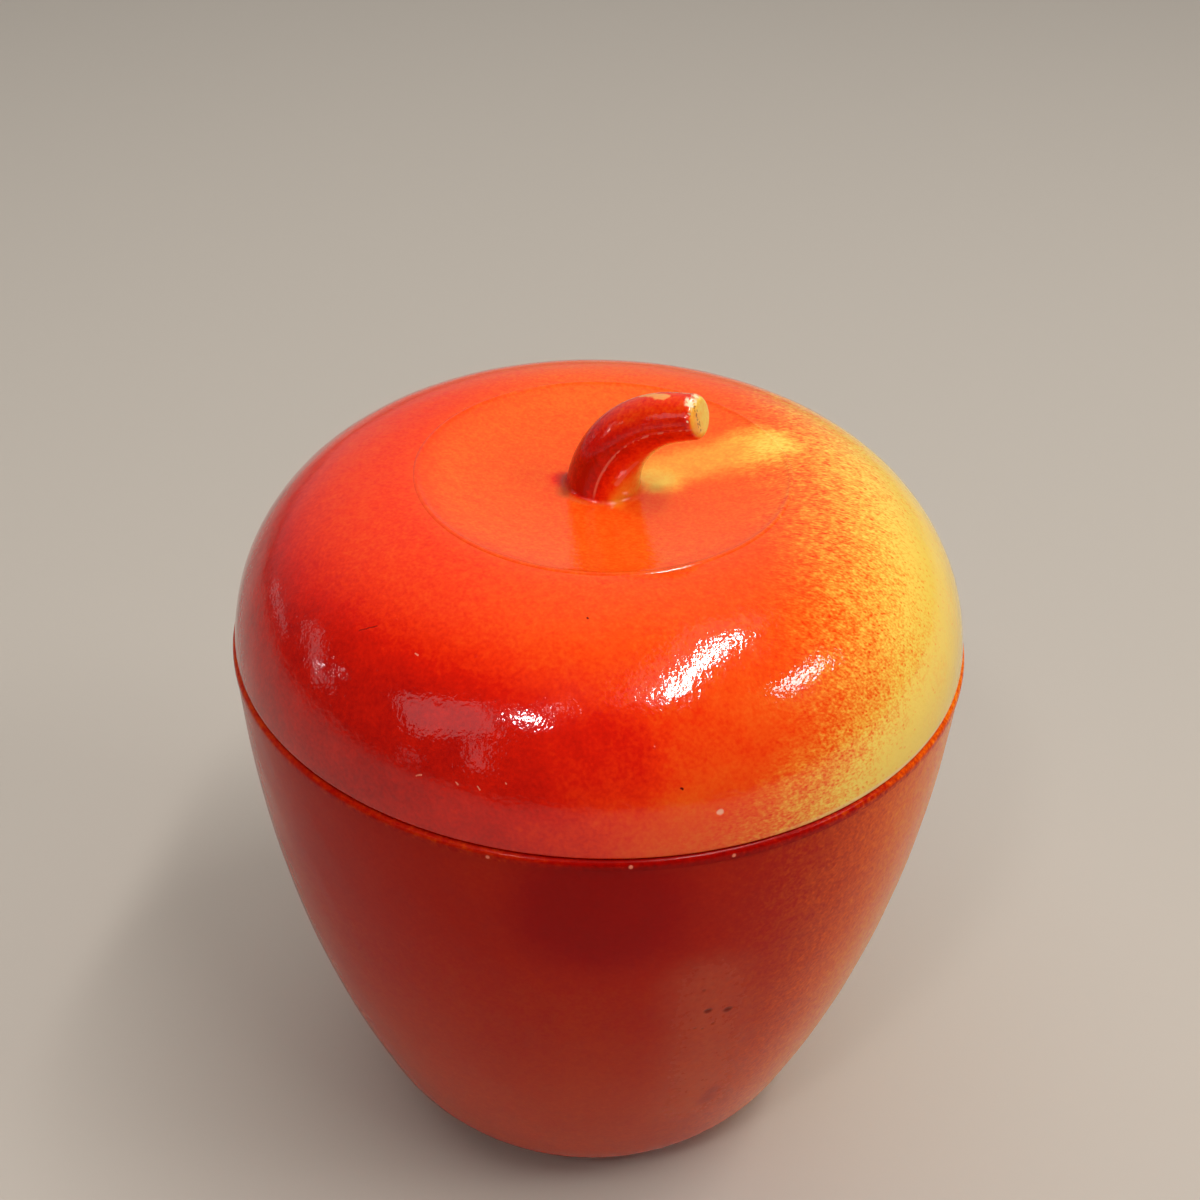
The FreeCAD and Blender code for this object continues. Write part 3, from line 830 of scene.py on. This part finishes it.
# Painted glints, pale flecks on the jar's bead: degrees round the axis and height in mm.
BEAD_GLINTS = ((-59, 72.4), (-45, 72.3), (-78, 72.2))
BEAD_GLINT_RADIUS = 43.2  # how far out they lie, in mm


# In the paint below, a bare share is how far a layer changes the coat, or how far a mark covers it.

def stem_fields(paint):
    """How far along the stem a point lies from the start of its bend, how far out from its
    middle line, away from the inside of the bend, and whether the point is on the stem."""
    back = paint.math("SUBTRACT", STEM_BEND_ARC, paint.x)
    up = paint.math("SUBTRACT", paint.z, DISH_FLOOR - STEM_BEND_SINK)
    round_bend = paint.length(paint.node("ShaderNodeCombineXYZ", back, 0.0, up).outputs[0])
    angle = paint.math("ARCTAN2", up, back)
    sine, cosine = math.sin(STEM_BEND_ANGLE), math.cos(STEM_BEND_ANGLE)
    past = paint.total(paint.product(back, -sine), paint.product(up, cosine))
    straight_out = paint.total(paint.product(back, cosine), paint.product(up, sine))
    beyond = paint.math("GREATER_THAN", past, 0.0)
    bent = paint.product(angle, STEM_BEND_ARC)
    along = paint.blend(beyond, bent, paint.total(past, STEM_BEND_ARC * STEM_BEND_ANGLE))
    out = paint.math("SUBTRACT", paint.blend(beyond, round_bend, straight_out), STEM_BEND_ARC)

    # Above the crest there is nothing but the stem; in the dish it is what lies close to the axis.
    over_crest = paint.product(paint.fade(paint.x, 17 * MM, 15 * MM),
                               paint.fade(paint.z, CREST + 0.2 * MM, CREST + 0.8 * MM))
    at_root = paint.product(paint.fade(paint.radius, 5.3 * MM, 4.7 * MM),
                            paint.fade(paint.z, DISH_FLOOR + 0.2 * MM, DISH_FLOOR + 0.9 * MM))
    return along, out, paint.most(over_crest, at_root)


def lid_coat(paint, droplets):
    """The red coat on the lid: thin towards the cheek, thick down the far shoulder."""
    wander = paint.noise(9 * MM, 3)
    shaken = paint.shaken(4 * MM, 2.5 * MM)
    cheek = paint.total(paint.dot(paint.place, CHEEK), paint.product(wander, 5 * MM))
    # Along the lid's edge the spray thinned out sooner.
    cheek = paint.total(cheek, paint.layer(8 * MM, (paint.z, SEAM + 11 * MM, SEAM + 1 * MM)))

    ground = paint.layer(0.72, (cheek, 37 * MM, 14 * MM))
    lower = paint.layer(0.32, (paint.z, CREST - 0.5 * MM, CREST - 8 * MM), (cheek, 14 * MM, -6 * MM))
    blotches = paint.product(paint.noise(5 * MM, 2), paint.fade(paint.z, 92 * MM, 84 * MM), 0.25)
    # The dish has a thinner, lighter coat, partly a painted reflection; the shoulder behind it, on the side
    # away from the cheek, has a thicker one.
    dish = paint.layer(-0.07, (paint.radius, 23 * MM, 18 * MM))
    far_side = paint.layer(0.11, (cheek, -2 * MM, -22 * MM), (paint.radius, 17 * MM, 25 * MM))
    back = paint.layer(-0.08, (paint.dot(paint.place, BACK), 10 * MM, 28 * MM))
    coat = paint.total(ground, lower, blotches, dish, far_side, back)

    for change, start, end, reach, soft in BARE_PATCHES:
        line_end = on_dish(*end) if end else None
        bare = paint.patch(on_dish(*start), line_end, reach * MM, soft, shaken)
        coat = paint.total(coat, paint.product(bare, change))

    # Painted shade: a soft spot of thicker, darker coat where the stem's back meets the dish.
    painted_shade = paint.spot(around(-165, 4.6, 90.6), 2.6 * MM, 1.0, shaken)
    coat = paint.total(coat, paint.product(painted_shade, 0.38))

    # Droplets: soft and low in the red, bold where the coat runs out, and then single specks.
    fringe = paint.product(paint.fade(cheek, 12 * MM, 24 * MM), paint.fade(cheek, 40 * MM, 31 * MM))
    spray = paint.combed(SPRAY_SQUEEZE)
    bold = paint.total(paint.noise(0.24 * MM, 1, spray), paint.product(paint.noise(0.75 * MM, 1, spray), 0.5))
    coat = paint.total(coat, paint.product(droplets, 0.26), paint.product(bold, fringe, 0.90))
    specks = paint.dots(0.40 * MM, paint.product(paint.fade(cheek, 42 * MM, 28 * MM), 0.5), 0.45, spray)
    return paint.total(coat, paint.product(specks, paint.fade(cheek, 18 * MM, 27 * MM), 0.22))


def stem_coat(paint, along, out, droplets):
    """The red coat on the stem: dark outside its bend, thin inside it, and gone from its end."""
    outer = paint.layer(0.58, (out, -4.2 * MM, -1.0 * MM))
    root = paint.layer(0.34, (along, 12 * MM, 3 * MM), (out, -1.8 * MM, 1.2 * MM))
    side = paint.layer(0.14, (paint.y, 0.3 * MM, -2.0 * MM), (out, 2.0 * MM, 0.4 * MM))
    speckle = paint.product(droplets, 0.4)
    blotches = paint.product(paint.noise(2.5 * MM, 2), 0.25)
    coat = paint.total(STEM_THINNEST, outer, root, side, speckle, blotches)

    end = paint.fade(along, STEM_BENT_LENGTH - 0.55 * MM, STEM_BENT_LENGTH - 0.15 * MM)
    near_side = paint.layer(0.20, (paint.y, 0.3 * MM, -1.6 * MM))
    end_coat = paint.total(STEM_END_COAT, near_side, paint.product(droplets, 0.35))
    return paint.blend(end, coat, end_coat)


def stem_wear(paint, along, out, on_stem, colour):
    """Where the coats are rubbed or knocked off the stem, or lie thin, and painted highlights along its mould
    line and inside its bend.
    """
    ragged = paint.shaken(0.8 * MM, 0.9 * MM)
    rubs = [paint.band(mm(*start), mm(*end), half * MM, 0.5, ragged) for start, end, half in STEM_RUBS]
    colour = paint.mix(paint.product(paint.most(*rubs), 0.8), colour, RUBBED)
    inside = paint.band(mm(3.4, -3.1, 91.0), mm(5.2, -1.4, 93.2), 1.5 * MM, 1.0)
    colour = paint.mix(paint.product(inside, 0.6), colour, SPRAYED_ORANGE)
    flakes = [paint.spot(mm(*place), radius * MM, 0.4, ragged) for place, radius in STEM_FLAKES]
    broken = paint.fade(paint.noise(0.5 * MM, 2), -0.16, 0.0)
    colour = paint.mix(paint.product(paint.most(*flakes), broken), colour, CREAM)

    # The mould line on the near side, painted pale: rubbed paint and a painted highlight on its ridge, broken
    # up along the hook.
    taper = (STEM_TIP_RADIUS - STEM_ROOT_RADIUS) / STEM_LENGTH
    girth = paint.total(stem_radius(STEM_RISE), paint.product(along, taper))
    offset = paint.math("ABSOLUTE", paint.total(out, paint.product(girth, math.sin(MOULD_LINE_TILT))))
    near_side = paint.fade(paint.y, -1.0 * MM, -2.0 * MM)
    line = paint.product(paint.fade(offset, 0.20 * MM, 0.05 * MM), near_side, on_stem)
    whole_low = paint.layer(0.3, (along, 9 * MM, 6 * MM))
    breaks = paint.fade(paint.total(paint.noise(0.7 * MM, 1), whole_low), 0.0, 0.08)
    starts = paint.fade(along, 0.8 * MM, 2.2 * MM)
    stops = paint.fade(along, 18.3 * MM, 17.6 * MM)
    colour = paint.mix(paint.product(line, breaks, starts, stops, 0.7), colour, PALE_RED_RUB_AND_GLINT)

    # A short painted highlight, a pale streak, inside it.
    painted_streak = paint.band(mm(3.15, -2.95, 93.0), mm(4.9, -1.9, 95.7), 0.45 * MM, 0.6)
    colour = paint.mix(paint.product(painted_streak, 0.85), colour, PAINTED_STREAK_RED)

    # Brown pits in a row down the end's flat face.
    pits = paint.dots(0.34 * MM, 0.6, 0.65)
    row = paint.band(mm(11.15, -0.9, 103.7), mm(11.95, -1.0, 101.3), 0.38 * MM, 0.4)
    return paint.mix(paint.product(pits, row, 0.8), colour, PIT_AND_SHADE_BROWN)


def lid_wear(paint, colour):
    """Small marks on the lid, a smudge and painted shade by the stem, and the lid's rubbed edge."""
    ragged = paint.shaken(0.5 * MM, 0.25 * MM)
    for start, end, half, mark in LID_MARKS:
        colour = paint.mix(paint.band(on_lid(*start), on_lid(*end), half * MM, 0.6, ragged), colour, mark)
    smudge = paint.spot(mm(5.6, 2.2, 90.6), 1.4 * MM, 0.9)
    colour = paint.mix(paint.product(smudge, 0.4), colour, SMUDGED)
    # Painted shade, brown, in the corner round the back of the stem's root.
    painted_shade = paint.band(around(-174, 4.7, 90.6), around(-128, 4.7, 90.6), 1.5 * MM, 1.0, ragged)
    colour = paint.mix(paint.product(painted_shade, 0.55), colour, PIT_AND_SHADE_BROWN)
    # The lid's lower edge, rubbed pale on the side of the cheek.
    edge = paint.layer(0.7, (paint.z, SEAM + 0.90 * MM, SEAM + 0.60 * MM),
                       (paint.dot(paint.place, CHEEK), 12 * MM, 30 * MM))
    return paint.mix(edge, colour, RUBBED_EDGE)


def lid_paint():
    """Yellow enamel under a sprayed red coat, glossy, with the wear of the lid and the stem."""
    paint = Paint("lid_paint")
    droplets = paint.total(paint.noise(0.42 * MM, 2), paint.product(paint.noise(1.1 * MM, 1), 0.5))
    along, out, on_stem = stem_fields(paint)
    coat = paint.blend(on_stem, lid_coat(paint, droplets), stem_coat(paint, along, out, droplets))
    colour = paint.ramp(paint.math("DIVIDE", coat, FULL_COAT), LID_COLOURS)
    colour = stem_wear(paint, along, out, on_stem, lid_wear(paint, colour))
    roughness = paint.total(paint.product(paint.noise(3 * MM, 3), 0.12), LID_ROUGHNESS)
    peel = paint.total(paint.product(paint.noise(0.38 * MM, 1), 0.021 * MM),
                       paint.product(paint.noise(1.4 * MM, 1), 0.034 * MM))
    nibs = paint.product(paint.dots(2.4 * MM, 0.3, 0.07), 0.03 * MM)
    return paint.finish(colour, roughness, LID_SPECULAR, paint.total(peel, nibs))


def jar_coat(paint, side, wander, shaken):
    """The red coat on the jar: thin towards the cheek, thicker on the bead, in a blot and in a painted dark
    reflection.
    """
    thinner = paint.layer(-0.84, (side, 0.25, 1.12))
    low = paint.layer(-0.2, (paint.z, 66 * MM, 12 * MM))
    back = paint.layer(-0.12, (side, -0.75, -1.0))
    # A painted dark reflection: a soft spot of thicker, darker coat just under the seam at the front.
    painted_dark_reflection = paint.product(paint.spot(around(-63, 43, 66), 13 * MM, 0.6, shaken), 0.17)
    bead_foot = SEAM - RIM_BEAD_HEIGHT
    bead = paint.layer(0.22, (paint.z, bead_foot - 0.1 * MM, bead_foot + 0.2 * MM), (side, -0.3, 0.4))
    blot = paint.product(paint.band(on_jar(-39, 26.5), on_jar(-40, 23.5), 1.6 * MM, 1.0, shaken), 0.30)
    coat = paint.total(JAR_THICKEST, thinner, low, back, painted_dark_reflection, bead, blot)

    droplets = paint.total(paint.noise(0.42 * MM, 2), paint.product(paint.noise(1.0 * MM, 1), 0.6))
    fringe = paint.layer(0.42, (side, 0.1, 0.6))
    on_bead = paint.layer(0.35, (paint.z, bead_foot, bead_foot + 0.3 * MM))
    speckle = paint.product(droplets, paint.total(fringe, 0.12, on_bead))
    return paint.total(coat, speckle, paint.product(wander, 0.12))


def jar_paint():
    """The same enamel and coat on the jar, duller with handling, with a painted sheen, painted glints on its
    bead, and its pits.
    """
    paint = Paint("jar_paint")
    wander = paint.noise(12 * MM, 3)
    shaken = paint.shaken(5 * MM, 3 * MM)
    side = paint.total(paint.dot(paint.outward, CHEEK), paint.product(wander, 0.25))
    coat = jar_coat(paint, side, wander, shaken)
    colour = paint.ramp(paint.math("DIVIDE", coat, FULL_COAT), JAR_COLOURS)

    # A painted sheen, a pale hazy reflection, in a band that is also rougher, with the pits in it.
    painted_sheen = paint.band(on_jar(-46, 52), on_jar(-42, 24), 8 * MM, 1.0, shaken)
    painted_sheen = paint.product(painted_sheen, paint.total(paint.noise(0.8 * MM, 3), 0.6))
    colour = paint.mix(paint.product(painted_sheen, 0.42), colour, PAINTED_SHEEN_COLOUR)
    # The pits are painted darker red, the larger ones more.
    for degrees, level, half_length, _ in JAR_PITS:
        pit = paint.spot(on_jar(degrees, level), half_length * 0.9 * MM, 0.6)
        pit_darkening = 0.7 if half_length > 0.5 else 0.35
        colour = paint.mix(paint.product(pit, pit_darkening), colour, DARK_RED)
    # Painted glints on the bead.
    for degrees, level in BEAD_GLINTS:
        painted_glint = paint.spot(around(degrees, BEAD_GLINT_RADIUS, level), 0.30 * MM, 0.5)
        colour = paint.mix(painted_glint, colour, PALE_RED_RUB_AND_GLINT)

    uneven = paint.product(paint.noise(3 * MM, 2), 0.1)
    roughness = paint.total(uneven, paint.product(painted_sheen, 0.2), JAR_ROUGHNESS)
    peel = paint.total(paint.product(paint.noise(0.45 * MM, 1), 0.014 * MM),
                       paint.product(paint.noise(1.8 * MM, 1), 0.04 * MM))
    return paint.finish(colour, roughness, JAR_SPECULAR, peel)


# ------ scene

FLOOR_HALF = 3.0
FLOOR_COLOUR = (0.52, 0.46, 0.39, 1)
FLOOR_ROUGHNESS = 0.8

WORLD_WALL = (-12, 22)  # where the bright wall stands, as (azimuth, elevation)
WORLD_BRIGHT = 0.32
WORLD_DIM = 0.06
WORLD_FADE = (0.35, 0.95)  # cosines of the angle from it at which it is dim and bright
BACKDROP = (0.40, 0.36, 0.31, 1)

LAMP_DISTANCE = 1.0
UNSEEN_LAMP_DISTANCE = 1.05

# Softboxes: name, from and to as (azimuth, elevation), width across that in metres, radiance, where
# 1 is a white wall's, and whether the gloss mirrors it. Those that it mirrors give no other light, so
# that a highlight and the light on the colours are set each by itself.
LAMPS = (
    ("ceiling", (60, 55), (-120, 59), 1.2, 1.35, False),
    ("fill", (118, 32), (92, 32), 0.5, 1.6, False),
    ("front_fill", (170, 58), (-150, 58), 0.5, 1.0, False),
    ("strip", (155, 56), (69, 66), 0.07, 25, False),
    ("mirrored_strip", (151, 56), (76, 65), 0.052, 70, True),
    ("strip_glow", (160, 54), (50, 62), 0.26, 0.6, True),
    ("side_strip", (115, 38), (94, 35), 0.12, 8, False),
    ("mirrored_side_strip", (114, 38), (94, 35), 0.08, 22, True),
    ("small_lamp", (-150, 47), (-159, 49), 0.11, 30, False),
    ("mirrored_small_lamp", (-153, 42), (-158, 43), 0.06, 90, True),
    ("dim_lamp", (-161, 50), (-166, 53), 0.07, 4, True),
    ("window", (-121, 20), (-146, 38), 0.30, 1.1, True),
    ("window_foot", (-145, 24), (-148, 9), 0.10, 0.9, True),
    ("low_window", (-126, 3), (-131, 2), 0.09, 0.5, True),
    ("edge_window", (-78, 17), (-95, 5), 0.09, 0.9, True),
    ("low_edge", (-58, 2), (-74, 2), 0.05, 0.6, True),
    ("glint", (-90, 10.5), (-91.5, 9.5), 0.015, 40, True),
    ("side_glint", (-95, 16.5), (-96.5, 16), 0.015, 14, True),
)


def add_floor():
    """A plain pale floor under the jar."""
    half = FLOOR_HALF
    mesh = bpy.data.meshes.new("floor")
    corners = [(-half, -half, 0), (half, -half, 0), (half, half, 0), (-half, half, 0)]
    mesh.from_pydata(corners, [], [(0, 1, 2, 3)])
    floor = bpy.data.objects.new("floor", mesh)
    bpy.context.scene.collection.objects.link(floor)
    material = bpy.data.materials.new("floor")
    material.use_nodes = True
    shader = material.node_tree.nodes["Principled BSDF"]
    shader.inputs["Base Color"].default_value = FLOOR_COLOUR
    shader.inputs["Roughness"].default_value = FLOOR_ROUGHNESS
    mesh.materials.append(material)


def toward(azimuth, elevation):
    """A direction; the azimuth runs from the camera's far side round by its right, in degrees."""
    azimuth, elevation = math.radians(azimuth), math.radians(elevation)
    flat = math.cos(elevation)
    seen = Vector((flat * math.sin(azimuth), flat * math.cos(azimuth), math.sin(elevation)))
    return Matrix.Rotation(CAMERA_AZIMUTH, 3, "Z") @ seen


def add_lamp(name, first, second, width, radiance, mirrored):
    """One softbox about a metre from the lid's crest. Those that no gloss mirrors stand a little
    behind the others, and are as strong on the jar as if they stood level with them."""
    distance = LAMP_DISTANCE if mirrored else UNSEEN_LAMP_DISTANCE
    ends = toward(*first), toward(*second)
    away = (ends[0] + ends[1]).normalized()
    length = 2 * math.tan(ends[0].angle(ends[1]) / 2)
    run = ends[1] - ends[0]
    run = (run - away * run.dot(away)).normalized()
    data = bpy.data.lights.new(name, "AREA")
    data.shape = "RECTANGLE"
    data.size, data.size_y = length, width
    data.energy = radiance * math.pi * length * width * distance**2
    light = bpy.data.objects.new(name, data)
    bpy.context.scene.collection.objects.link(light)
    axes = Matrix((run, away.cross(run), away)).transposed()
    light.matrix_world = Matrix.Translation(Vector((0, 0, CREST)) + away * distance) @ axes.to_4x4()
    light.visible_glossy = mirrored
    light.visible_diffuse = not mirrored


def add_world():
    """Soft light from a bright wall on the far side, and a dim room overhead and behind the camera."""
    world = bpy.data.worlds.new("world")
    world.use_nodes = True
    tree = world.node_tree
    share = tree.nodes.new("ShaderNodeVectorMath")
    share.operation = "DOT_PRODUCT"
    share.inputs[1].default_value = toward(*WORLD_WALL)
    tree.links.new(tree.nodes.new("ShaderNodeTexCoord").outputs["Generated"], share.inputs[0])
    strength = tree.nodes.new("ShaderNodeMapRange")
    strength.interpolation_type = "SMOOTHSTEP"
    strength.inputs["From Min"].default_value = WORLD_FADE[0]
    strength.inputs["From Max"].default_value = WORLD_FADE[1]
    strength.inputs["To Min"].default_value = WORLD_DIM
    strength.inputs["To Max"].default_value = WORLD_BRIGHT
    tree.links.new(share.outputs["Value"], strength.inputs["Value"])
    room = tree.nodes["Background"]
    room.inputs["Color"].default_value = (1, 1, 1, 1)
    tree.links.new(strength.outputs["Result"], room.inputs["Strength"])

    # The camera itself sees a plain pale backdrop past the floor's edge.
    backdrop = tree.nodes.new("ShaderNodeBackground")
    backdrop.inputs["Color"].default_value = BACKDROP
    seen = tree.nodes.new("ShaderNodeMixShader")
    tree.links.new(tree.nodes.new("ShaderNodeLightPath").outputs["Is Camera Ray"], seen.inputs["Fac"])
    tree.links.new(room.outputs["Background"], seen.inputs[1])
    tree.links.new(backdrop.outputs["Background"], seen.inputs[2])
    tree.links.new(seen.outputs["Shader"], tree.nodes["World Output"].inputs["Surface"])
    bpy.context.scene.world = world


add_camera()
jar = make_jar()
lid = make_lid()
for piece, node, slot in ((jar, "jar", "jar_paint"), (lid, "lid", "lid_paint")):
    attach(piece, "root")
    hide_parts(node)
add_floor()
add_world()
for lamp in LAMPS:
    add_lamp(*lamp)
bpy.context.scene.view_settings.view_transform = "Standard"
jar.data.materials.append(jar_paint())
lid.data.materials.append(lid_paint())
